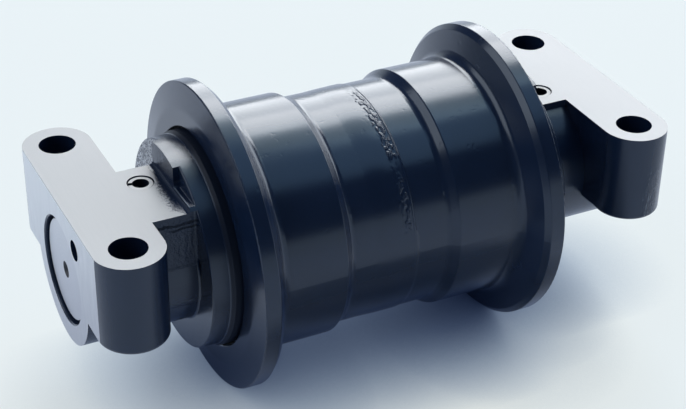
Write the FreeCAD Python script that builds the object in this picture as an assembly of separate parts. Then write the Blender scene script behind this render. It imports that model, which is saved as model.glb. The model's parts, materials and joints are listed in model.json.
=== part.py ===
# Track bottom roller of a crawler undercarriage, in millimetres.
# The roller turns about the Y axis. The origin is the middle of the roller on that axis.
# Z points up to the milled pads that are bolted under the track frame.
import FreeCAD, Part

import math
import os

from FreeCAD import Vector

# Collar castings: pads, bolt bosses and end faces
overallLength = 369.0         # between the two milled end faces
boltSpacing = 123.5           # between the two bolts of one collar
boltSetback = 20.5            # milled end face to the bolt row
boltHoleDiameter = 22.0       # for M20 bolts
boltBossRadius = 20.7
padLength = 64.0              # milled end face to the wall at the pin boss
padHeight = 46.5              # axis to milled pad
barBottomDrop = 10.5          # axis to the underside of the bolt bosses
barEdgeRound = 2.5            # cast rounding along the underside
millingAllowance = 4.0        # cast stock that the milling takes off

# Shaft boss, neck and pin boss of a collar
shaftBossRadius = 45.0
bossRootRound = 1.2
neckSide = 43.0               # flank of the neck on its wide side
neckLedgeHeight = 2.8         # cast top of the neck above the milled pad
neckRootRound = 4.0           # neck into the side of the pin boss
pinBossHalfWidth = 16.75
pinBossStandout = 3.5         # wall over the front of the hub
cutterCornerRadius = 2.5

# Hub disc of a collar, which closes the end of the roller
hubRadius = 64.0
hubLength = 13.4              # from the disc's front to the front of the hub
hubEdgeRound = 1.0
hubDiscRadius = 65.6
hubDiscStandout = 3.9         # over the face of the roller
hubDiscSlope = 2.8
hubDiscRound = 0.6

# Blind hole in each collar end face, beside the shaft
jackHoleRadius = 6.2
jackHoleAcross = 28.0
jackHoleUp = 30.3
jackHoleDepth = 22.0
drillPointAngle = 118.0

# Shaft
shaftDiameter = 65.0
shaftRecess = 2.3             # shaft end below the collar end face
shaftEndChamfer = 2.3
boreMouthChamfer = 0.8
centreHoleRadius = 5.1
centrePilotRadius = 3.6
centreConeAngle = 60.0
centrePilotDepth = 10.0

# Oil drilling in the shaft, set off the axis so that it clears the lock pins
oilHoleRadius = 4.5
oilHoleOffset = 18.0
oilCrossHoleRadius = 3.0
oilCrossHoleY = 9.0
plugSeatRadius = 7.5
plugSeatDepth = 4.0
plugShankLength = 12.0
plugHeadGap = 0.5             # plug head below the shaft end
plugSocketFlats = 5.0
plugSocketDepth = 2.4
plugGrooveDepth = 1.2
plugGrooveWidth = 2.2
plugGrooveSetback = 4.0

# Lock pins, slotted spring pins through collar and shaft
pinDiameter = 16.0
pinWall = 3.0
pinLength = 85.0
pinTopGap = 0.6
pinEndChamfer = 0.8
pinSlotWidth = 2.6
pinSlotTurn = 14.5            # slot turned from -Y towards -X, in degrees
pinSetback = 13.8             # wall at the pin boss to the pin

# Roller shell
treadDiameter = 150.0
middleDiameter = 141.6
flangeDiameter = 188.6
flatFaceRadius = 78.3         # flat round the hub recess, before the face slopes back
flatFaceRound = 20.0
flangeFaceSetback = 2.3       # outer face at the rim, behind the flat
flangeRimWidth = 9.2
flangeChamfer = 3.2
flangeRootWidth = 19.0
flangeRootRound = 7.0
flangeEdgeRound = 0.8
treadSpacing = 74.4           # between the inner edges of the two treads
treadEdgeRound = 1.5
shoulderLength = 5.4
middleEdgeRound = 6.0
hubRecessRadius = 67.2
hubRecessDepth = 8.2
recessEdgeRound = 0.8
seamCentreY = 4.4             # friction weld, a little off the middle
seamWidth = 9.6
seamHeight = 0.45
chamberRadius = 42.0
chamberChamfer = 2.0

# Bushings with thrust flange
bushingWall = 5.0
bushingFlangeRadius = 44.0
bushingFlangeThickness = 5.0
bushingFlangeStep = 0.5       # below the floor of the seal housing
bushingSpacing = 56.0         # between the inner ends of the two bushings
bushingOilHoleRadius = 3.0

# Floating seal groups
sealRingInnerRadius = 38.2
sealLipRadius = 48.0
sealLipThickness = 3.0
sealRingDepth = 11.0
sealRingRound = 0.6
sealCavityDepth = 11.75       # seal face to the floor of each housing
toricSectionRadius = 4.0
toricCentreRadius = 45.9
toricCentreDepth = 7.3
rampAngle = 12.0
noseRadius = 37.4

# O-rings between shaft and collars
ringGrooveSetback = 7.0       # behind the front of the hub
ringGrooveWidth = 4.8
ringGrooveDepth = 2.9
ringWidth = 4.0
ringRound = 1.2

# Clearances
labyrinthGap = 1.5            # hub disc to the floor of the shell's recess
thrustGap = 0.2               # collar nose to bushing flange
bushingRunningFit = 0.06      # radial, shaft in bushing
collarFit = 0.03              # radial, shaft in collar
pressSeat = 0.02              # radial, bushing in shell and pins in holes
sealFilm = 0.02               # between the lapped seal faces
toricSeat = 0.05              # toric ring to its ramps
plugFit = 0.03

# Places that follow from the sizes above
shaftRadius = shaftDiameter / 2
treadRadius = treadDiameter / 2
middleRadius = middleDiameter / 2
flangeRadius = flangeDiameter / 2
boltX = boltSpacing / 2
bushingRadius = shaftRadius + bushingWall

# Places along the axis, from the end face of a collar inwards
collarEndY = overallLength / 2
shaftEndY = collarEndY - shaftRecess
boltY = collarEndY - boltSetback
pinBossWallY = collarEndY - padLength
pinPlaceY = pinBossWallY + pinSetback
hubFrontY = pinBossWallY - pinBossStandout
ringGrooveY = hubFrontY - ringGrooveSetback
hubDiscFrontY = hubFrontY - hubLength
faceY = hubDiscFrontY - hubDiscStandout
flangeFaceY = faceY - flangeFaceSetback
flangeRimY = flangeFaceY - flangeRimWidth
flangeRootY = flangeFaceY - flangeRootWidth
treadEdgeY = treadSpacing / 2
middleEdgeY = treadEdgeY - shoulderLength
shellSeatY = faceY - hubRecessDepth
hubRearY = shellSeatY + labyrinthGap
sealFaceY = (shellSeatY + hubRearY) / 2
bushingFlangeOuterY = sealFaceY - sealCavityDepth - bushingFlangeStep
bushingInnerY = bushingSpacing / 2
noseY = bushingFlangeOuterY + thrustGap
rampSlope = math.tan(math.radians(rampAngle))
bodyTop = padHeight + millingAllowance
neckTop = padHeight + neckLedgeHeight

axisY = Vector(0, 1, 0)
axisZ = Vector(0, 0, 1)
origin = Vector(0, 0, 0)


# Closed wire through corners (u, v) or (u, v, radius); a radius rounds its corner.
def roundedWire(corners, place):
    points = [Vector(corner[0], corner[1], 0) for corner in corners]
    stretches = []
    for index, corner in enumerate(corners):
        here = points[index]
        radius = corner[2] if len(corner) > 2 else 0
        if radius == 0:
            stretches.append((here, here, here))
            continue
        back = (points[index - 1] - here).normalize()
        ahead = (points[(index + 1) % len(points)] - here).normalize()
        half = back.getAngle(ahead) / 2
        reach = radius / math.tan(half)
        toCentre = (back + ahead).normalize()
        middle = here + toCentre * (radius / math.sin(half) - radius)
        stretches.append((here + back * reach, middle, here + ahead * reach))
    edges = []
    for index, (start, middle, end) in enumerate(stretches):
        before = stretches[index - 1][2]
        if before.distanceToPoint(start) > 1e-6:
            edges.append(Part.LineSegment(place(before), place(start)).toShape())
        if start.distanceToPoint(end) > 1e-6:
            edges.append(Part.Arc(place(start), place(middle), place(end)).toShape())
    return Part.Wire(edges)


# Solid of revolution about the roller axis from corners (radius, y, rounding).
def turned(corners):
    face = Part.Face(roundedWire(corners, lambda p: Vector(p.x, p.y, 0)))
    solid = Part.Solid(face.revolve(origin, axisY, 360))
    if solid.Volume < 0:
        solid.reverse()
    return solid


# Cylinder along the roller axis between two places on it.
def axialRod(radius, fromY, toY, x=0, z=0):
    return Part.makeCylinder(radius, toY - fromY, Vector(x, fromY, z), axisY)


# Upright cylinder between two heights.
def uprightRod(radius, x, y, fromZ, toZ):
    return Part.makeCylinder(radius, toZ - fromZ, Vector(x, y, fromZ), axisZ)


def box(lowX, highX, lowY, highY, lowZ, highZ):
    return Part.makeBox(highX - lowX, highY - lowY, highZ - lowZ, Vector(lowX, lowY, lowZ))


def otherEnd(solid):
    copy = solid.copy()
    copy.rotate(origin, axisZ, 180)
    return copy


# Ramp radii of a seal group at a depth behind the seal face.
def ringRamp(depth):
    offset = toricSectionRadius + toricSeat
    across = toricCentreRadius - offset * math.cos(math.radians(rampAngle))
    along = toricCentreDepth - offset * math.sin(math.radians(rampAngle))
    return across - (depth - along) * rampSlope


def housingRamp(depth):
    offset = toricSectionRadius + toricSeat
    across = toricCentreRadius + offset * math.cos(math.radians(rampAngle))
    along = toricCentreDepth + offset * math.sin(math.radians(rampAngle))
    return across - (depth - along) * rampSlope


def makeShell():
    chamferInnerY = flangeRimY - flangeChamfer
    chamferInnerR = flangeRadius - flangeChamfer
    mouthDepth = sealFaceY - shellSeatY
    seatR = bushingRadius + pressSeat
    flangeSeatR = bushingFlangeRadius + pressSeat
    flangeSeatY = bushingFlangeOuterY - bushingFlangeThickness
    half = [
        (middleRadius, middleEdgeY, middleEdgeRound),
        (treadRadius, treadEdgeY, treadEdgeRound),
        (treadRadius, flangeRootY, flangeRootRound),
        (chamferInnerR, chamferInnerY, flangeEdgeRound),
        (flangeRadius, flangeRimY, flangeEdgeRound),
        (flangeRadius, flangeFaceY, flangeEdgeRound),
        (flatFaceRadius, faceY, flatFaceRound),
        (hubRecessRadius, faceY, recessEdgeRound),
        (hubRecessRadius, shellSeatY, recessEdgeRound),
        (housingRamp(mouthDepth), shellSeatY, recessEdgeRound),
        (housingRamp(sealCavityDepth), sealFaceY - sealCavityDepth, recessEdgeRound),
        (housingRamp(sealCavityDepth) - recessEdgeRound * 2, bushingFlangeOuterY),
        (flangeSeatR, bushingFlangeOuterY),
        (flangeSeatR, flangeSeatY),
        (seatR, flangeSeatY),
        (seatR, bushingInnerY),
        (chamberRadius, bushingInnerY - chamberChamfer),
    ]
    mirrored = [(corner[0], -corner[1]) + tuple(corner[2:]) for corner in reversed(half)]
    shell = turned(half + mirrored)
    lowY = seamCentreY - seamWidth / 2
    highY = seamCentreY + seamWidth / 2
    seam = turned([
        (middleRadius - seamHeight, lowY),
        (middleRadius + seamHeight, lowY + seamHeight, seamHeight),
        (middleRadius + seamHeight, highY - seamHeight, seamHeight),
        (middleRadius - seamHeight, highY),
    ])
    return shell.fuse(seam)


# The casting as it leaves the mould, for the end on the +Y side.
def makeCollarBlank():
    mouthDepth = hubRearY - sealFaceY
    cavityFloorY = sealFaceY + sealCavityDepth
    blankEndY = collarEndY + millingAllowance
    hub = turned([
        (shaftRadius / 2, noseY),
        (noseRadius, noseY),
        (noseRadius, cavityFloorY),
        (housingRamp(sealCavityDepth), cavityFloorY, recessEdgeRound),
        (housingRamp(mouthDepth), hubRearY, hubDiscRound),
        (hubDiscRadius, hubRearY, hubDiscRound),
        (hubDiscRadius, hubDiscFrontY, hubDiscRound),
        (hubRadius, hubDiscFrontY + hubDiscSlope, hubDiscRound),
        (hubRadius, hubFrontY, hubEdgeRound),
        (shaftBossRadius, hubFrontY, bossRootRound),
        (shaftBossRadius, blankEndY),
        (shaftRadius / 2, blankEndY),
    ])
    innerY = boltY - boltBossRadius
    outerY = boltY + boltBossRadius
    corners = [Vector(-boltX, innerY, -barBottomDrop), Vector(boltX, innerY, -barBottomDrop),
               Vector(boltX, outerY, -barBottomDrop), Vector(-boltX, outerY, -barBottomDrop)]
    rightTip = Vector(boltX + boltBossRadius, boltY, -barBottomDrop)
    leftTip = Vector(-boltX - boltBossRadius, boltY, -barBottomDrop)
    stadium = Part.Wire([
        Part.LineSegment(corners[0], corners[1]).toShape(),
        Part.Arc(corners[1], rightTip, corners[2]).toShape(),
        Part.LineSegment(corners[2], corners[3]).toShape(),
        Part.Arc(corners[3], leftTip, corners[0]).toShape(),
    ])
    bar = Part.Face(stadium).extrude(axisZ * (bodyTop + barBottomDrop))
    underside = [edge for edge in bar.Edges if edge.BoundBox.ZMax < -barBottomDrop + 1e-6]
    bar = bar.makeFillet(barEdgeRound, underside)
    neckInnerY = hubFrontY - bossRootRound
    neckBottom = -math.sqrt(shaftBossRadius ** 2 - neckSide ** 2)
    neckWithPinBoss = Part.Face(roundedWire([
        (-neckSide, neckBottom),
        (pinBossHalfWidth, neckBottom),
        (pinBossHalfWidth, hubRadius),
        (-pinBossHalfWidth, hubRadius),
        (-pinBossHalfWidth, neckTop, neckRootRound),
        (-neckSide, neckTop),
    ], lambda p: Vector(p.x, neckInnerY, p.y))).extrude(axisY * (boltY - neckInnerY))
    neckWithPinBoss = neckWithPinBoss.common(axialRod(hubRadius, neckInnerY, boltY))
    return hub.fuse([bar, neckWithPinBoss]).removeSplitter()


# Chamfered mouth of the shaft bore at the collar end face.
def makeBoreMouth():
    boreR = shaftRadius + collarFit
    return Part.makeCone(boreR, boreR + boreMouthChamfer * 2, boreMouthChamfer * 2,
                         Vector(0, collarEndY - boreMouthChamfer, 0), axisY)


def makeCollar():
    blank = makeCollarBlank()
    reach = boltX + boltBossRadius + millingAllowance
    farY = collarEndY + millingAllowance * 2
    padCut = Part.Face(roundedWire([
        (pinBossWallY, padHeight, cutterCornerRadius),
        (farY, padHeight),
        (farY, hubRadius + millingAllowance),
        (pinBossWallY, hubRadius + millingAllowance),
    ], lambda p: Vector(-reach, p.x, p.y))).extrude(Vector(2 * reach, 0, 0))
    endCut = box(-reach, reach, collarEndY, farY, -reach, reach)
    bore = axialRod(shaftRadius + collarFit, noseY - labyrinthGap, farY)
    bolts = [uprightRod(boltHoleDiameter / 2, side * boltX, boltY, -reach, reach) for side in (-1, 1)]
    pinHole = uprightRod(pinDiameter / 2, 0, pinPlaceY, -reach, reach)
    jackEndY = collarEndY - jackHoleDepth
    tip = jackHoleRadius / math.tan(math.radians(drillPointAngle / 2))
    jack = axialRod(jackHoleRadius, jackEndY, farY, -jackHoleAcross, jackHoleUp)
    jackTip = Part.makeCone(0, jackHoleRadius, tip, Vector(-jackHoleAcross, jackEndY - tip, jackHoleUp), axisY)
    tools = [padCut, endCut, bore, makeBoreMouth(), pinHole, jack.fuse(jackTip)] + bolts
    return blank.cut(tools)


def makeShaft():
    shaft = turned([
        (0, -shaftEndY),
        (shaftRadius - shaftEndChamfer, -shaftEndY),
        (shaftRadius, -shaftEndY + shaftEndChamfer),
        (shaftRadius, shaftEndY - shaftEndChamfer),
        (shaftRadius - shaftEndChamfer, shaftEndY),
        (0, shaftEndY),
    ])
    coneDepth = (centreHoleRadius - centrePilotRadius) / math.tan(math.radians(centreConeAngle / 2))
    tools = []
    for turn in (0, 180):
        coneStart = Vector(0, shaftEndY - coneDepth, 0)
        centre = Part.makeCone(centrePilotRadius, centreHoleRadius, coneDepth, coneStart, axisY)
        pilot = axialRod(centrePilotRadius, shaftEndY - coneDepth - centrePilotDepth, shaftEndY - coneDepth)
        grooveFloor = shaftRadius - ringGrooveDepth
        groove = turned([
            (grooveFloor, ringGrooveY - ringGrooveWidth / 2),
            (shaftRadius + collarFit, ringGrooveY - ringGrooveWidth / 2),
            (shaftRadius + collarFit, ringGrooveY + ringGrooveWidth / 2),
            (grooveFloor, ringGrooveY + ringGrooveWidth / 2),
        ])
        pinHole = uprightRod(pinDiameter / 2, 0, pinPlaceY, -shaftDiameter, shaftDiameter)
        for tool in (centre, pilot, groove, pinHole):
            tool.rotate(origin, axisZ, turn)
            tools.append(tool)
    tools.append(axialRod(oilHoleRadius, 0, shaftEndY, oilHoleOffset))
    tools.append(axialRod(plugSeatRadius, shaftEndY - plugSeatDepth, shaftEndY, oilHoleOffset))
    crossLength = shaftDiameter - oilHoleOffset
    tools.append(Part.makeCylinder(oilCrossHoleRadius, crossLength,
                                   Vector(oilHoleOffset, oilCrossHoleY, 0), Vector(1, 0, 0)))
    return shaft.cut(tools)


def makeOilPlug():
    headOuterY = shaftEndY - plugHeadGap
    seatY = shaftEndY - plugSeatDepth
    shankR = oilHoleRadius - plugFit
    grooveY = seatY - plugGrooveSetback
    head = axialRod(plugSeatRadius - plugFit, seatY, headOuterY, oilHoleOffset)
    shank = axialRod(shankR, seatY - plugShankLength, seatY, oilHoleOffset)
    socketStart = Vector(oilHoleOffset, headOuterY - plugSocketDepth, 0)
    socketRadius = plugSocketFlats / math.sqrt(3)
    hexagon = [socketStart + Vector(math.cos(k * math.pi / 3), 0, math.sin(k * math.pi / 3)) * socketRadius
               for k in range(7)]
    socket = Part.Face(Part.makePolygon(hexagon)).extrude(axisY * plugSocketDepth)
    band = axialRod(shankR + plugFit, grooveY - plugGrooveWidth / 2, grooveY + plugGrooveWidth / 2, oilHoleOffset)
    core = axialRod(shankR - plugGrooveDepth, grooveY - plugGrooveWidth, grooveY + plugGrooveWidth, oilHoleOffset)
    return head.fuse(shank).cut([socket, band.cut(core)])


# Ring squashed between its groove and the bore round it.
def squashedRing(innerR, outerR, middleY, width, rounding):
    return turned([
        (innerR, middleY - width / 2, rounding),
        (outerR, middleY - width / 2, rounding),
        (outerR, middleY + width / 2, rounding),
        (innerR, middleY + width / 2, rounding),
    ])


def makePlugRing():
    grooveY = shaftEndY - plugSeatDepth - plugGrooveSetback
    innerR = oilHoleRadius - plugFit - plugGrooveDepth
    width = plugGrooveWidth - plugFit * 4
    height = oilHoleRadius - innerR
    ring = squashedRing(innerR + plugFit / 2, oilHoleRadius - plugFit / 2, grooveY, width, height / 3)
    ring.translate(Vector(oilHoleOffset, 0, 0))
    return ring


def makeShaftRing():
    floorR = shaftRadius - ringGrooveDepth
    return squashedRing(floorR + pressSeat, shaftRadius + collarFit - pressSeat, ringGrooveY, ringWidth, ringRound)


def makeBushing():
    innerR = shaftRadius + bushingRunningFit
    flangeY = bushingFlangeOuterY - bushingFlangeThickness
    bushing = turned([
        (innerR, bushingInnerY),
        (bushingRadius, bushingInnerY),
        (bushingRadius, flangeY),
        (bushingFlangeRadius, flangeY),
        (bushingFlangeRadius, bushingFlangeOuterY),
        (innerR, bushingFlangeOuterY),
    ])
    middleY = (bushingInnerY + flangeY) / 2
    oilHole = Part.makeCylinder(bushingOilHoleRadius, 2 * bushingRadius, Vector(0, middleY, 0), Vector(1, 0, 0))
    return bushing.cut(oilHole)


# Seal ring; side is 1 for the ring in the collar and -1 for the one that turns with the shell.
def makeSealRing(side):
    faceAt = sealFaceY + side * sealFilm / 2
    profile = [
        (sealRingInnerRadius, 0),
        (sealLipRadius, 0, sealRingRound),
        (sealLipRadius, sealLipThickness, sealRingRound),
        (ringRamp(sealLipThickness), sealLipThickness, sealRingRound),
        (ringRamp(sealRingDepth), sealRingDepth, sealRingRound),
        (sealRingInnerRadius, sealRingDepth),
    ]
    return turned([(corner[0], faceAt + side * corner[1]) + tuple(corner[2:]) for corner in profile])


def makeToricRing(side):
    return Part.makeTorus(toricCentreRadius, toricSectionRadius,
                          Vector(0, sealFaceY + side * toricCentreDepth, 0), axisY)


def makeLockPin(middleY):
    outerR = pinDiameter / 2 - pressSeat
    innerR = outerR - pinWall
    topZ = padHeight - pinTopGap
    bottomZ = topZ - pinLength
    profile = Part.makePolygon([
        Vector(innerR, 0, bottomZ),
        Vector(outerR - pinEndChamfer, 0, bottomZ),
        Vector(outerR, 0, bottomZ + 2 * pinEndChamfer),
        Vector(outerR, 0, topZ - 2 * pinEndChamfer),
        Vector(outerR - pinEndChamfer, 0, topZ),
        Vector(innerR, 0, topZ),
        Vector(innerR, 0, bottomZ),
    ])
    tube = Part.Solid(Part.Face(profile).revolve(origin, axisZ, 360))
    if tube.Volume < 0:
        tube.reverse()
    slot = box(-pinSlotWidth / 2, pinSlotWidth / 2, -pinDiameter, 0, bottomZ - pinWall, topZ + pinWall)
    slot.rotate(origin, axisZ, -pinSlotTurn)
    pin = tube.cut(slot)
    pin.translate(Vector(0, middleY, 0))
    return pin


def makeParts():
    parts = {"roller_shell": makeShell(), "shaft": makeShaft(),
             "oil_plug": makeOilPlug(), "oil_plug_ring": makePlugRing()}
    paired = {
        "collar": makeCollar(),
        "bushing": makeBushing(),
        "fixed_seal_ring": makeSealRing(1),
        "turning_seal_ring": makeSealRing(-1),
        "fixed_toric_ring": makeToricRing(1),
        "turning_toric_ring": makeToricRing(-1),
        "shaft_ring": makeShaftRing(),
    }
    for name, solid in paired.items():
        parts["right_" + name] = solid
        parts["left_" + name] = otherEnd(solid)
    parts["right_lock_pin"] = makeLockPin(pinPlaceY)
    parts["left_lock_pin"] = makeLockPin(-pinPlaceY)
    return parts


os.makedirs("parts", exist_ok=True)
for name, shape in makeParts().items():
    solids = shape.Solids
    print(name, len(solids), "solid", "valid" if shape.isValid() else "NOT VALID", round(shape.Volume), "mm3")
    shape.exportStep("parts/" + name + ".step")
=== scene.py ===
import json
import math

import bpy
from mathutils import Matrix, Vector, noise


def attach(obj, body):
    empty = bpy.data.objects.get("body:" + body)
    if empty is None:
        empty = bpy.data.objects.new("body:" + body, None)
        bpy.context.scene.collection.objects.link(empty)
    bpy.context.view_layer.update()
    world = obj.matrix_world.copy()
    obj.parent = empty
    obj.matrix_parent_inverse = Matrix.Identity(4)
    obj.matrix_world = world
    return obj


# Track bottom roller. The row frame is in metres: Y is the turning axis and Z points out of the pads.
mm = 0.001
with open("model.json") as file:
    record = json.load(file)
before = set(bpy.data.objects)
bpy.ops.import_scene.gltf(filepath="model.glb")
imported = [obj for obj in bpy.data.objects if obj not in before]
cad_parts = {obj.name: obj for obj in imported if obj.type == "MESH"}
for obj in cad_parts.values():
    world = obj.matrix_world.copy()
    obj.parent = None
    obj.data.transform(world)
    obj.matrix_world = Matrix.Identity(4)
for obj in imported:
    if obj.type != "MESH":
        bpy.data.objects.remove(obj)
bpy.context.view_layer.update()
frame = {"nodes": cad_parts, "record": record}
nodes = frame["nodes"]
print("frame loaded:", len(nodes), "nodes")

# The friction weld: the seam band of the shell and the rough relief over it, with lengths in millimetres
weld = {
    "middle": 4.4, "width": 9.6, "radius": 70.8, "rise": 0.45,
    "cover": 0.15, "sunk": 0.1, "lowest": -0.05,
    "roundSteps": 1500, "bandSteps": 30,
    "leftPlaces": [-20.0, -17.0, -14.0, -11.0, -8.5, -6.5, -5.0, -3.8, -2.7, -1.8, -1.0, -0.45],
    "rightPlaces": [0.3, 0.7, 1.2, 2.0, 3.0],
    "rightRun": 3.0, "standingRun": 0.4,
    "leastStrength": 0.06, "scaleShare": 0.25,
}


# Shader graph: one method makes every node, and sockets can be added, multiplied and so on.
class Socket:
    def __init__(self, graph, socket):
        self.graph = graph
        self.socket = socket

    def __add__(self, other):
        return self.graph.maths("ADD", self, other)

    __radd__ = __add__

    def __sub__(self, other):
        return self.graph.maths("SUBTRACT", self, other)

    def __rsub__(self, other):
        return self.graph.maths("SUBTRACT", other, self)

    def __mul__(self, other):
        return self.graph.maths("MULTIPLY", self, other)

    __rmul__ = __mul__

    def __truediv__(self, other):
        return self.graph.maths("DIVIDE", self, other)

    def power(self, other):
        return self.graph.maths("POWER", self, other)

    def size(self):
        return self.graph.maths("ABSOLUTE", self)

    def largest(self, other):
        return self.graph.maths("MAXIMUM", self, other)

    def root(self):
        return self.graph.maths("SQRT", self)

    def above(self, low, high):
        return self.graph.ramp(self, low, high)

    def below(self, low, high):
        return 1 - self.graph.ramp(self, low, high)

    # 1 within the inner distance of the place, and 0 beyond the outer one
    def near(self, place, inner, outer):
        return (self - place).size().below(inner, outer)


class Graph:
    def __init__(self, material):
        material.use_nodes = True
        self.tree = material.node_tree
        self.tree.nodes.clear()

    def node(self, kind, inputs=None, output=0, **settings):
        made = self.tree.nodes.new(kind)
        for name, value in settings.items():
            setattr(made, name, value)
        for key, value in (inputs or {}).items():
            if isinstance(value, Socket):
                self.tree.links.new(value.socket, made.inputs[key])
            else:
                made.inputs[key].default_value = value
        return Socket(self, made.outputs[output]) if made.outputs else None

    def maths(self, operation, first, second=0.0):
        return self.node("ShaderNodeMath", {0: first, 1: second}, operation=operation)

    # Rises smoothly from 0 to 1 as the value goes from low to high.
    def ramp(self, value, low, high):
        limits = {"Value": value, "From Min": low, "From Max": high}
        return self.node("ShaderNodeMapRange", limits, interpolation_type="SMOOTHSTEP")

    def coordinates(self):
        place = self.node("ShaderNodeTexCoord", output="Object")
        scaled = self.node("ShaderNodeVectorMath", {0: place, "Scale": 1 / mm}, operation="SCALE")
        parts = [self.node("ShaderNodeSeparateXYZ", {0: scaled}, output=axis) for axis in "XYZ"]
        return [scaled] + parts

    def normals(self):
        place = self.node("ShaderNodeNewGeometry", output="True Normal")
        local = self.node("ShaderNodeVectorTransform", {0: place}, vector_type="NORMAL",
                          convert_from="WORLD", convert_to="OBJECT")
        return [self.node("ShaderNodeSeparateXYZ", {0: local}, output=axis) for axis in "XYZ"]

    def stretched(self, place, factors):
        return self.node("ShaderNodeVectorMath", {0: place, 1: factors}, operation="MULTIPLY")

    def noise(self, place, scale, detail=2.0, roughness=0.5):
        inputs = {"Vector": place, "Scale": scale, "Detail": detail, "Roughness": roughness}
        return self.node("ShaderNodeTexNoise", inputs, output="Fac")

    def mixColor(self, factor, first, second):
        mixer = self.tree.nodes.new("ShaderNodeMix")
        mixer.data_type = "RGBA"
        for identifier, value in (("Factor_Float", factor), ("A_Color", first), ("B_Color", second)):
            socket = next(s for s in mixer.inputs if s.identifier == identifier)
            if isinstance(value, Socket):
                self.tree.links.new(value.socket, socket)
            else:
                socket.default_value = value
        return Socket(self, next(s for s in mixer.outputs if s.identifier == "Result_Color"))

    # The height is in millimetres.
    def bump(self, height):
        return self.node("ShaderNodeBump", {"Height": height, "Strength": 1.0, "Distance": mm})

    def surface(self, inputs):
        shader = self.node("ShaderNodeBsdfPrincipled", inputs)
        self.node("ShaderNodeOutputMaterial", {"Surface": shader})

    # Each layer shows over what lies under it where its factor is 1.
    def layered(self, ground, *layers):
        shader = self.node("ShaderNodeBsdfPrincipled", ground)
        for factor, inputs in layers:
            layer = self.node("ShaderNodeBsdfPrincipled", inputs)
            shader = self.node("ShaderNodeMixShader", {0: factor, 1: shader, 2: layer})
        self.node("ShaderNodeOutputMaterial", {"Surface": shader})


def newMaterial(name):
    material = bpy.data.materials.new(name)
    return material, Graph(material)


paint = {
    "dark": (0.0045, 0.0115, 0.032, 1), "pale": (0.0075, 0.0165, 0.046, 1), "wearAndHighlight": (0.17, 0.2, 0.25, 1),
    "tint": (0.78, 0.89, 1.0, 1),
}
bare = {
    "pad": (0.41, 0.42, 0.44, 1), "padDull": (0.385, 0.4, 0.42, 1),
    "end": (0.72, 0.745, 0.78, 1), "endStreakedAndShaded": (0.4, 0.42, 0.49, 1),
    "specular": 0.15,
}
# Painted shade colour for the cracks, the disc slope behind the hub and the lock pin below its top
shadeColor = (0.006, 0.01, 0.022, 1)


def shellPaint():
    material, g = newMaterial("shell_paint")
    place, x, y, z = g.coordinates()
    radius = (x * x + z * z).root()
    cloud = g.noise(place, 0.03, 3)
    peel = g.noise(place, 0.7, 2)
    turned = g.noise(g.stretched(place, (0.02, 1.2, 0.02)), 1.0, 3)
    dents = g.noise(place, 0.22, 2, 0.4).above(0.66, 0.74)
    bandTop = weld["radius"] + weld["rise"]
    onWeld = y.near(weld["middle"], 3.4, 4.4) * radius.above(bandTop + 0.08, bandTop + 0.25)
    crumbs = g.noise(g.stretched(place, (0.8, 1.3, 0.8)), 1.0, 4, 0.65)
    height = peel * 0.012 + turned * 0.006 - dents * 0.03 + onWeld * crumbs * 0.45
    g.surface({
        "Base Color": g.mixColor(cloud, paint["dark"], paint["pale"]),
        "Roughness": 0.15 + cloud * 0.1 + radius.below(60, 66) * 0.2,
        "Specular Tint": paint["tint"],
        "Normal": g.bump(height),
    })
    return material


# Places on a collar in millimetres, over the axis, along it and across it, and strengths of wear and painted
# highlight
collar = {
    "pad": 46.5, "endFace": 184.5, "bossWall": 120.5, "hubFront": 117.0, "hubRadius": 64.1, "boltRow": 164.0,
    "neckSide": 43.0, "neckFoot": 118.2, "ledge": 49.3, "pinBoss": 16.75, "bossTip": 82.4,
    "upperCrack": 40.6, "lowerCrack": 37.8,
    "sprayWidth": 1.4, "sprayMore": 5.2, "sprayEnd": 5.0,
    "spatter": 0.85, "ledgeHighlight": 0.8, "neckWear": 0.3, "scratches": 0.4,
}


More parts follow.
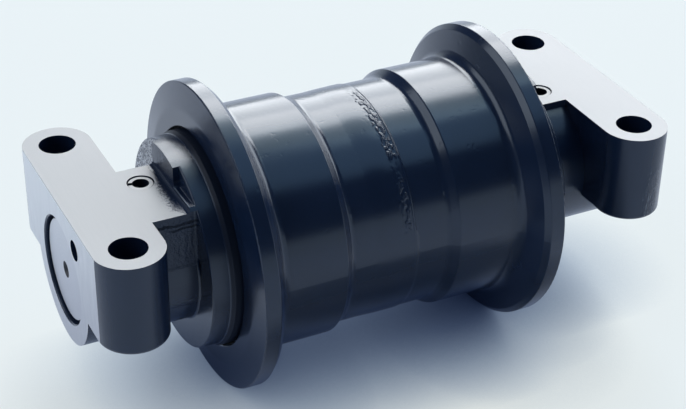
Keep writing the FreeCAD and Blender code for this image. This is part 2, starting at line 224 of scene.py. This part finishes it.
def collarPaint():
    material, g = newMaterial("collar_paint")
    place, x, y, z = g.coordinates()
    nx, ny, nz = g.normals()
    alongY = y.size()
    radius = (x * x + z * z).root()
    # Across is counted the same way on both castings, which are half a turn apart.
    side = y.above(-0.01, 0.01) * 2 - 1
    across = x * side * -1
    speckle = g.noise(place, 0.85, 4, 0.7)
    drift = g.noise(place, 0.11, 3)
    grain = g.noise(place, 1.5, 2)
    skin = g.noise(place, 0.17, 4, 0.6)
    torn = g.noise(place, 0.42, 4, 0.62)
    cloud = g.noise(place, 0.04, 3)

    # Milled pad and end face
    flatUp = nz.above(0.985, 0.998)
    flatOut = ny.size().above(0.985, 0.998)
    pad = flatUp * z.near(collar["pad"], 0.04, 0.1)
    endFace = flatOut * alongY.near(collar["endFace"], 0.04, 0.1)
    burr = endFace * z.above(collar["pad"] - 0.6, collar["pad"] - 0.3)
    brushed = g.noise(g.stretched(place, (0.05, 0.9, 0.9)), 1.0, 3)
    streaks = g.noise(g.stretched(place, (0.35, 1.0, 0.06)), 1.0, 4)
    padColor = g.mixColor(brushed, bare["padDull"], bare["pad"])
    # Painted light: the end face is lighter toward the top and darker toward the bottom and one side, mixed
    # with grinding streaks.
    upLeft = 0.45 + streaks * 0.3 - across * 0.004 + z * 0.007
    endColor = g.mixColor(upLeft.above(0.1, 1.1), bare["endStreakedAndShaded"], bare["end"])

    # Overspray lies along the foot of the hub wall and runs out over the bare pad.
    reach = across.above(-8, 16) * collar["sprayMore"] + collar["sprayWidth"] + drift * 2.4
    reach = reach - across.above(collar["neckSide"] - 7, collar["neckSide"] - 1) * collar["sprayEnd"]
    fog = (alongY - collar["bossWall"] - 2.0) / reach
    overspray = (1.2 - fog + (speckle - 0.5) * 1.5).above(0.2, 0.9)
    padBare = pad * (1 - overspray)

    # Bare metal shows in specks through the paint on the front of the hub, and the wall over the pad is
    # lighter toward its top, where a tenth of the milled finish is mixed in.
    mottle = g.noise(place, 0.8, 2, 0.7)
    castFront = flatOut * alongY.near(collar["hubFront"], 0.04, 0.3)
    hubFront = castFront * across.below(-17, -16)
    spatter = hubFront * (mottle + (drift - 0.5) * 0.3).above(0.47, 0.52)
    wallGrey = flatOut * alongY.near(collar["bossWall"], 0.04, 0.1) * z.above(50, 66) * 0.1
    metal = padBare.largest(endFace * (1 - burr * 0.6)).largest(spatter * collar["spatter"]).largest(wallGrey)

    # Rough cast skin, with cracked flash under the pad on the flank of the neck
    pits = g.noise(place, 0.34, 2, 0.5).above(0.6, 0.7)
    neckFlank = nx.size().above(0.9, 0.98) * across.near(collar["neckSide"], 0.3, 0.6)
    ragged = z + (drift - 0.5) * 5 + (speckle - 0.5) * 3
    upperCrack = ragged.near(collar["upperCrack"], 0.25, 0.9)
    lowerCrack = ragged.near(collar["lowerCrack"], 0.15, 0.7) * alongY.below(128, 136)
    cracks = neckFlank * upperCrack.largest(lowerCrack)
    neckFoot = (alongY + (speckle - 0.5) * 0.8).near(collar["neckFoot"], 0.2, 0.7)
    neckEdge = neckFlank * neckFoot * z.above(8, 22) * collar["neckWear"]

    # Painted highlight along the two edges of the ledge beside the pin boss, where light catches the rounded
    # edges
    onLedge = across.above(collar["pinBoss"], collar["pinBoss"] + 1)
    onLedge = onLedge * across.below(collar["neckSide"] - 1, collar["neckSide"])
    ledgeTop = z.near(collar["ledge"], 0.2, 0.5) * onLedge
    frontEdge = alongY.near(collar["bossWall"] - 0.25, 0.15, 0.45)
    rearEdge = alongY.near(collar["hubFront"] + 0.35, 0.1, 0.4) * speckle.above(0.4, 0.5)
    ledgeHighlight = ledgeTop * frontEdge.largest(rearEdge) * collar["ledgeHighlight"]

    # Trimmed flash low on the tip of the narrow side's bolt boss
    trimmed = across.below(-collar["bossTip"] + 1, 4 - collar["bossTip"]) * z.below(12, 30)
    trimmed = trimmed * (alongY - collar["boltRow"]).above(-4, 2)
    strokes = g.noise(g.stretched(place, (0.95, 0.95, 0.13)), 1.0, 3, 0.6)
    scratches = trimmed * strokes.above(0.56, 0.64) * collar["scratches"]

    # Painted shade darkens the slope of the disc behind the hub, at the labyrinth.
    discSlope = radius.above(collar["hubRadius"], collar["hubRadius"] + 0.5)
    discSlope = discSlope * alongY.below(collar["hubFront"] - 2, collar["hubFront"])

    # The light colour is partly worn paint, at the scratches and the neck, and partly painted highlight on
    # the ledge edges
    wearAndHighlight = ledgeHighlight.largest(neckEdge).largest(scratches)
    paintColor = g.mixColor(cloud, paint["dark"], paint["pale"])
    # The cracks in the flash are painted dark, as painted shade in them.
    shaded = g.mixColor(cracks * 0.9, paintColor, shadeColor)
    rough = skin * (0.06 + flatOut * 0.1 + neckFlank * 0.4) + (neckFlank * 0.6 + trimmed) * torn
    castHeight = (grain * 0.03 + rough - pits * flatOut * 0.1 - cracks * 0.5) * (1 - metal) + spatter * 0.05
    relief = g.bump(castHeight + brushed * 0.004)
    painted = {
        "Base Color": g.mixColor(wearAndHighlight, shaded, paint["wearAndHighlight"]),
        "Roughness": 0.21 + cloud * 0.08 + cracks * 0.4 + wearAndHighlight * 0.2 + neckFlank * 0.1,
        "Specular Tint": paint["tint"],
        "Normal": relief,
    }
    discShade = {
        "Base Color": shadeColor,
        "Roughness": 0.5,
        "Specular IOR Level": 0.12,
        "Normal": relief,
    }
    milled = {
        "Base Color": g.mixColor(endFace.largest(spatter), padColor, endColor),
        "Roughness": 0.5,
        "Metallic": endFace * 0.5 + spatter * 0.7 + padBare * 0.12,
        "Specular IOR Level": bare["specular"],
        "Normal": relief,
    }
    g.layered(painted, (discSlope * 0.85, discShade), (metal, milled))
    return material


# Shaft end along the axis and the radius of its centre hole, in millimetres, and the painted shade in the
# hole
shaft = {"end": 182.2, "centreHole": 5.1, "holeShade": (0.03, 0.036, 0.05, 1)}


def shaftSteel():
    material, g = newMaterial("shaft_steel")
    place, x, y, z = g.coordinates()
    side = y.above(-0.01, 0.01) * 2 - 1
    # Painted light: the shaft's end face is lighter toward the top and darker toward the bottom and one side.
    upLeft = 0.45 + x * side * 0.004 + z * 0.007
    radius = (x * x + z * z).root()
    face = y.size().above(shaft["end"] - 0.1, shaft["end"] - 0.05)
    hole = radius.below(shaft["centreHole"] - 0.1, shaft["centreHole"] + 0.1)
    outside = face * (1 - hole)
    rings = g.noise(g.stretched(place, (0.05, 0.05, 0.05)), 1.0, 2)
    turned = g.node("ShaderNodeCombineXYZ", {0: radius, 1: 0.0, 2: 0.0})
    lathe = g.noise(turned, 1.6, 3)
    steel = g.mixColor((upLeft + (lathe - 0.5) * 0.4).above(0.1, 1.1), bare["endStreakedAndShaded"], bare["end"])
    # Off the end face, in the centre hole and beyond, the shaft is painted dark as painted shade.
    g.surface({
        "Base Color": g.mixColor(outside, shaft["holeShade"], steel),
        "Metallic": outside * 0.55,
        "Roughness": 0.42 + rings * 0.1,
        "Normal": g.bump(lathe * 0.008),
    })
    return material


# Top ring of the lock pin, in millimetres over the axis
lockPin = {"top": 45.2, "color": (0.49, 0.5, 0.51, 1)}


def pinSteel():
    material, g = newMaterial("pin_steel")
    z = g.coordinates()[3]
    nz = g.normals()[2]
    top = z.above(lockPin["top"] - 0.4, lockPin["top"]) * nz.above(0.2, 0.5)
    # Below its top ring the pin is painted dark, as painted shade in its bore and hole.
    g.surface({
        "Base Color": g.mixColor(top, shadeColor, lockPin["color"]),
        "Roughness": 0.45,
        "Specular IOR Level": bare["specular"],
    })
    return material


def plain(name, color, roughness, metallic=0.0):
    material, g = newMaterial(name)
    g.surface({"Base Color": tuple(color) + (1,), "Roughness": roughness, "Metallic": metallic})
    return material


finishes = {
    "shell_paint": shellPaint(),
    "collar_paint": collarPaint(),
    "shaft_steel": shaftSteel(),
    "pin_steel": pinSteel(),
    "plug_steel": plain("plug_steel", (0.2, 0.21, 0.23), 0.4, 0.8),
    "bushing_bronze": plain("bushing_bronze", (0.45, 0.28, 0.11), 0.35, 0.9),
    "seal_iron": plain("seal_iron", (0.3, 0.31, 0.33), 0.25, 0.9),
    "ring_rubber": plain("ring_rubber", (0.012, 0.012, 0.013), 0.6),
}
slotOf = {s["node"]: s["material_slot"] for s in frame["record"]["subparts"]}
for name, piece in nodes.items():
    piece.data.materials.clear()
    piece.data.materials.append(finishes[slotOf[name]])
print("finishes made:", len(finishes))


def meshPiece(name, points, faces, finish, body):
    mesh = bpy.data.meshes.new(name)
    mesh.from_pydata(points, [], faces)
    mesh.validate()
    mesh.shade_smooth()
    mesh.materials.append(finishes[finish])
    piece = bpy.data.objects.new(name, mesh)
    bpy.context.scene.collection.objects.link(piece)
    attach(piece, body)
    return piece


def smooth(value, low, high):
    t = min(1.0, max(0.0, (value - low) / (high - low)))
    return t * t * (3 - 2 * t)


# Stretches of the weld in degrees from the front (+X) up over the top: where each starts, is full, fades
# and ends, and how strong it is
weldStretches = [(46, 52, 90, 104, 1.0), (38, 44, 48, 54, 0.25), (9, 15, 38, 44, 0.65)]
hiddenStretch = (110, 128, 160, 175, 0.7)  # behind, over the axis and under it


def stretchStrength(degrees, start, full, fade, end, strength):
    return smooth(degrees, start, full) * smooth(-degrees, -end, -fade) * strength


# How far the weld stands out, from 0 to 1
def weldStrength(turn):
    degrees = -math.degrees(turn)
    degrees = degrees + 360 if degrees < -180 else degrees
    strengths = [stretchStrength(degrees, *stretch) for stretch in weldStretches]
    strengths.append(stretchStrength(abs(degrees), *hiddenStretch))
    return max(strengths + [weld["leastStrength"]])


# Height of the rough weld surface over the seam band, in millimetres: long ridges along the seam, with some
# torn scales along the top, between a broken line on the left and a fine one on the right
def weldRelief(turn, across):
    arc = turn * weld["radius"]
    edge = weld["width"] - across
    wander = noise.noise((math.cos(turn) * 5, math.sin(turn) * 5, 3.0)) * 0.7
    scales = noise.turbulence((arc * 0.26 + across * 0.4, across * 0.85 - arc * 0.1, 11.0), 4, True)
    ridges = noise.turbulence((arc * 0.05, across * 0.62 + wander * 0.9, 23.0), 4, True)
    onTop = smooth(math.sin(-turn), 0.62, 0.76) * smooth(math.cos(turn), -0.25, 0.0) * weld["scaleShare"]
    torn = scales * onTop + ridges * (1 - onTop)
    patch = noise.noise((arc * 0.3, across * 0.4 + 7.0, 17.0))
    strength = weldStrength(turn) * (0.8 + 0.5 * noise.noise((arc * 0.08, 2.0, 8.0)))
    dash = 0.6 + noise.noise((arc * 0.3, 9.0, 1.0))
    leftLine = math.exp(-((across - 1.5 - wander * 0.5) / 0.4) ** 2) * (dash - 0.7) * 0.5 * strength
    rightLine = math.exp(-((edge - 1.0 - wander * 0.25) / 0.3) ** 2) * (0.03 + 0.28 * strength)
    body = (1.25 - torn) * 0.26 * smooth(patch, -0.4, 0.15) + patch * 0.12
    leftEdge = 1.2 + 1.4 * smooth(noise.noise((arc * 0.11, 4.0, 6.0)), -0.15, 0.4)
    rightEdge = 1.5 + 0.6 * smooth(noise.noise((arc * 0.13, 14.0, 2.0)), -0.05, 0.4)
    inside = smooth(across, leftEdge, leftEdge + 1.6) * smooth(edge, rightEdge, rightEdge + 1.3)
    return leftLine + rightLine + body * inside * strength


# The left side runs out softly all round, and the right side where the weld is ground flat.
def weldFlash():
    steps = weld["roundSteps"]
    band = [weld["width"] * j / weld["bandSteps"] for j in range(weld["bandSteps"] + 1)]
    places = weld["leftPlaces"] + band + [weld["width"] + run for run in weld["rightPlaces"]]
    points = []
    for i in range(steps):
        turn = 2 * math.pi * i / steps
        degrees = -math.degrees(turn) if turn < math.pi else 360 - math.degrees(turn)
        standing = smooth(degrees, 8, 16) + smooth(-degrees, 150, 165)
        rightRun = weld["rightRun"] - standing * (weld["rightRun"] - weld["standingRun"])
        for across in places:
            rise = smooth(across, places[0], 0.0)
            fall = smooth(weld["width"] - across, -rightRun, 0.1)
            onBand = 0 < across < weld["width"]
            relief = max(weld["lowest"], weldRelief(turn, across)) if onBand else 0.0
            over = rise * fall * (weld["cover"] + weld["rise"] + relief)
            radius = weld["radius"] - weld["sunk"] + over
            y = weld["middle"] - weld["width"] / 2 + across
            points.append((math.cos(turn) * radius * mm, y * mm, -math.sin(turn) * radius * mm))
    row = len(places)
    faces = []
    for i in range(steps):
        here = i * row
        after = (i + 1) % steps * row
        for j in range(row - 1):
            faces.append((here + j, after + j, after + j + 1, here + j + 1))
    return meshPiece("weld_flash", points, faces, "shell_paint", "roller")


weldFlash()
print("weld flash made")


# Floor sweep: places in millimetres, reach and closeness in metres. Its glow gives, for each colour, how fast
# it fades where the part stands close, how bright it is, and how much brighter it is in glossy reflections.
floorSweep = {
    "height": -94.3, "reach": 6.0, "closeness": 0.075,
    "lit": (0.66, 0.72, 0.74, 1), "seen": (0.12, 0.15, 0.19, 1),
    "glow": [("Red", 2.0, 0.665, 0.0), ("Green", 1.75, 0.695, 0.02), ("Blue", 1.3, 0.67, 0.14)],
    "reflectedShadowPlace": (130, 35), "reflectedShadowReach": (88, 140), "reflectedShadowStrength": 0.8,
    "reflectedDepth": 1.3, "nearEnd": -170, "farEnd": 60, "nearDepth": 0.62, "moreDepth": 0.48,
}


def floorFinish():
    material, g = newMaterial("floor")
    kinds = ("Camera", "Glossy", "Transmission")
    rays = [g.node("ShaderNodeLightPath", output="Is " + kind + " Ray") for kind in kinds]
    camera, glossy, transmission = rays
    # To the eye and to metal the sweep is half lit from within, with a painted shadow, bluer and dimmer near
    # the part.
    seen = camera.largest(glossy).largest(transmission)
    openness = g.node("ShaderNodeAmbientOcclusion", {"Distance": floorSweep["closeness"]}, output="AO")
    x, y = g.coordinates()[1:3]
    # Only glossy reflections show a painted shadow on the floor beside the roller, on the side away from the
    # lamps.
    besideX = (x - floorSweep["reflectedShadowPlace"][0]) / floorSweep["reflectedShadowReach"][0]
    besideY = (y - floorSweep["reflectedShadowPlace"][1]) / floorSweep["reflectedShadowReach"][1]
    reflectedShadow = (besideX * besideX + besideY * besideY).below(0.3, 1.0)
    shade = 1 - reflectedShadow * glossy * floorSweep["reflectedShadowStrength"]
    # To the eye the shadow is softer toward the near end, and in reflections it is deeper.
    along = y.above(floorSweep["nearEnd"], floorSweep["farEnd"])
    easing = floorSweep["nearDepth"] - floorSweep["reflectedDepth"]
    depth = floorSweep["reflectedDepth"] + camera * (along * floorSweep["moreDepth"] + easing)
    glows = {}
    for name, fading, brightness, more in floorSweep["glow"]:
        glows[name] = openness.power(depth * fading) * (brightness + glossy * more) * shade
    glow = g.node("ShaderNodeEmission", {"Color": g.node("ShaderNodeCombineColor", glows), "Strength": 1.0})
    white = g.node("ShaderNodeBsdfDiffuse", {"Color": floorSweep["lit"]})
    grey = g.node("ShaderNodeBsdfDiffuse", {"Color": floorSweep["seen"]})
    halfLit = g.node("ShaderNodeAddShader", {0: grey, 1: glow})
    finish = g.node("ShaderNodeMixShader", {0: seen, 1: white, 2: halfLit})
    g.node("ShaderNodeOutputMaterial", {"Surface": finish})
    return material


def makeFloor():
    reach = floorSweep["reach"]
    height = floorSweep["height"] * mm
    corners = [(x * reach, y * reach, height) for x, y in ((-1, -1), (1, -1), (1, 1), (-1, 1))]
    mesh = bpy.data.meshes.new("floor")
    mesh.from_pydata(corners, [], [(0, 1, 2, 3)])
    mesh.materials.append(floorFinish())
    floor = bpy.data.objects.new("floor", mesh)
    bpy.context.scene.collection.objects.link(floor)


# Each soft box: where it stands as seen from the part, how wide and how tall in degrees, its brightness over
# that of white, and its colour
softboxes = [
    ("low_softbox", (-0.786, 0.491, 0.375), 32, 28, 6.0, (0.97, 0.99, 1.0)),
    ("middle_softbox", (-0.574, 0.38, 0.725), 32, 21, 10.0, (1.0, 0.98, 0.96)),
    ("upper_softbox", (-0.25, 0.38, 0.89), 32, 14, 2.4, (0.75, 0.94, 1.0)),
    ("ceiling_softbox", (0.2, 0.38, 0.9), 34, 32, 1.1, (0.47, 0.72, 1.0)),
    ("left_softbox", (-0.22, -0.75, 0.62), 58, 36, 2.3, (0.93, 0.96, 1.0)),
    ("right_softbox", (-0.3, 0.86, 0.4), 42, 27, 3.6, (0.93, 0.97, 1.0)),
]
softboxDistance = 8.0


def softLight(name, toward, acrossAngle, heightAngle, brightness, color):
    data = bpy.data.lights.new(name, "AREA")
    data.shape = "RECTANGLE"
    data.size = 2 * softboxDistance * math.tan(math.radians(acrossAngle / 2))
    data.size_y = 2 * softboxDistance * math.tan(math.radians(heightAngle / 2))
    data.energy = brightness * math.pi * data.size * data.size_y
    data.color = color
    light = bpy.data.objects.new(name, data)
    bpy.context.scene.collection.objects.link(light)
    direction = Vector(toward).normalized()
    light.location = direction * softboxDistance
    light.rotation_euler = (-direction).to_track_quat("-Z", "Y").to_euler()


# Dim room with a pale band round the horizon, as a white sweep gives, weaker toward the near end
room = {"color": (0.82, 0.92, 1.0, 1), "dim": 0.06, "pale": 0.91, "bandTop": 0.22, "nearShare": 0.3}


def makeWorld():
    world = bpy.data.worlds.new("studio")
    bpy.context.scene.world = world
    g = Graph(world)
    direction = g.node("ShaderNodeTexCoord", output="Generated")
    sideways = g.node("ShaderNodeSeparateXYZ", {0: direction}, output="Y")
    rise = g.node("ShaderNodeSeparateXYZ", {0: direction}, output="Z")
    farShare = (1 - room["nearShare"]) * sideways.above(-0.45, 0.05)
    band = rise.below(room["bandTop"] - 0.1, room["bandTop"]) * (room["nearShare"] + farShare)
    dim = g.node("ShaderNodeBackground", {"Color": room["color"], "Strength": room["dim"]})
    pale = g.node("ShaderNodeBackground", {"Color": room["color"], "Strength": room["pale"]})
    g.node("ShaderNodeOutputWorld", {"Surface": g.node("ShaderNodeMixShader", {0: band, 1: dim, 2: pale})})


# Camera: angles in degrees, distance and shifts in metres, sensor in millimetres, and the focal length in
# pixels of a picture that is as many pixels wide as stated
view = {
    "azimuth": 63.286, "elevation": 31.939, "roll": 1.008, "distance": 1.0236,
    "right": -0.003576, "up": -0.003031, "sensor": 36.0, "focalPixels": 1652.02, "pictureWidth": 686,
}


def makeCamera():
    azimuth = math.radians(view["azimuth"])
    elevation = math.radians(view["elevation"])
    roll = math.radians(view["roll"])
    back = Vector((math.sin(azimuth) * math.cos(elevation), -math.cos(azimuth) * math.cos(elevation),
                   math.sin(elevation)))
    level = Vector((math.cos(azimuth), math.sin(azimuth), 0))
    upright = back.cross(level)
    right = level * math.cos(roll) + upright * math.sin(roll)
    up = upright * math.cos(roll) - level * math.sin(roll)
    data = bpy.data.cameras.new("camera")
    data.sensor_width = view["sensor"]
    data.lens = view["focalPixels"] * view["sensor"] / view["pictureWidth"]
    camera = bpy.data.objects.new("camera", data)
    bpy.context.scene.collection.objects.link(camera)
    turned = Matrix((right, up, back)).transposed().to_4x4()
    place = back * view["distance"] + right * view["right"] + up * view["up"]
    camera.matrix_world = Matrix.Translation(place) @ turned
    bpy.context.scene.camera = camera


makeFloor()
print("floor made")
for softbox in softboxes:
    softLight(*softbox)
print("lamps made:", len(softboxes))
makeWorld()
makeCamera()
bpy.context.scene.view_settings.view_transform = "Standard"
print("stage made")
